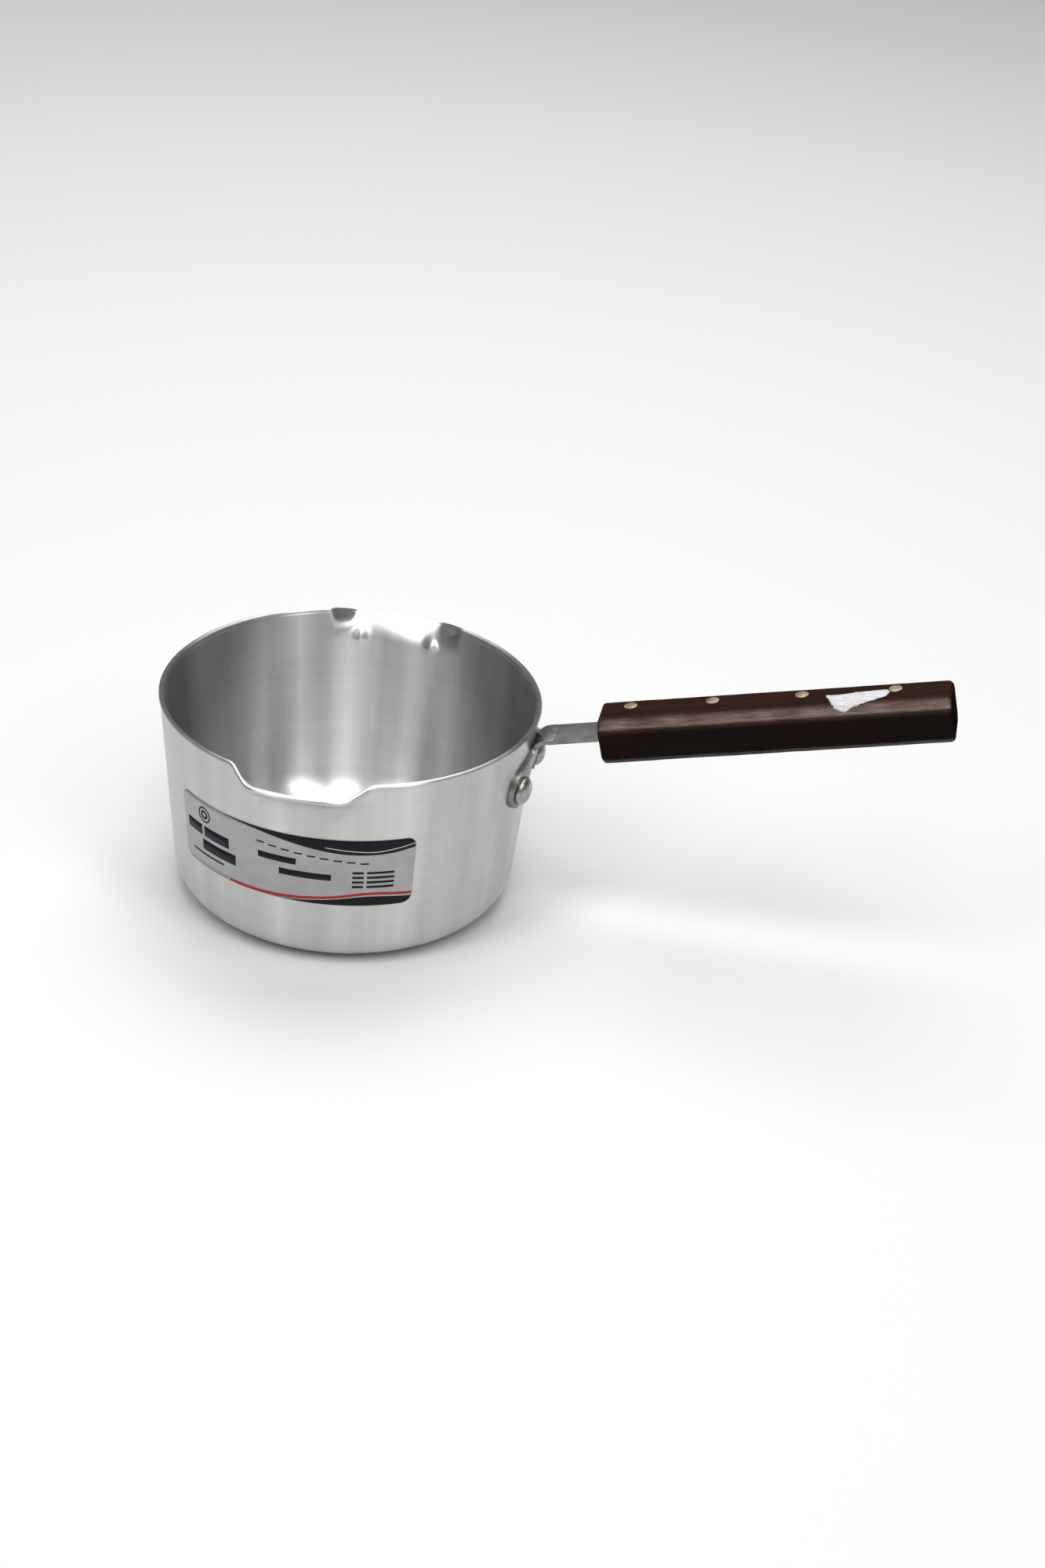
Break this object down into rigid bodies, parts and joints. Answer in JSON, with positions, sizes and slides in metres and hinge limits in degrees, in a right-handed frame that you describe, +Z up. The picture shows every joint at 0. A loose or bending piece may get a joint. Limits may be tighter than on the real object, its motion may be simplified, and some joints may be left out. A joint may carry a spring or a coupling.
{
  "type": "candle melting pot",
  "caption": "Spun aluminium melting pot with two pouring lips, a riveted steel bracket and a dark wooden grip.",
  "frame": {"origin": "centre of the flat bottom, on the surface that the pot stands on", "axes": "+X out along the handle, -Y and +Y towards the two pouring lips, +Z up"},
  "size_m": [0.3295, 0.1732, 0.1317],
  "materials": {
    "aluminium": "spun satin",
    "bracket_steel": "dull nickel",
    "rivet": "satin",
    "dark_wood": "waxed, worn bevels",
    "pin_brass": "filed flush",
    "label_foil": "satin foil",
    "paper": "torn paper"
  },
  "bodies": {
    "root": {"pot_body": "aluminium", "handle_bracket": "bracket_steel", "pot_rivet_front": "rivet", "pot_rivet_rear": "rivet", "handle_grip": "dark_wood", "handle_pin_1": "pin_brass", "handle_pin_2": "pin_brass", "handle_pin_3": "pin_brass", "handle_pin_4": "pin_brass", "maker_label": "label_foil", "price_tag_remnant": "paper"}
  },
  "joints": []
}
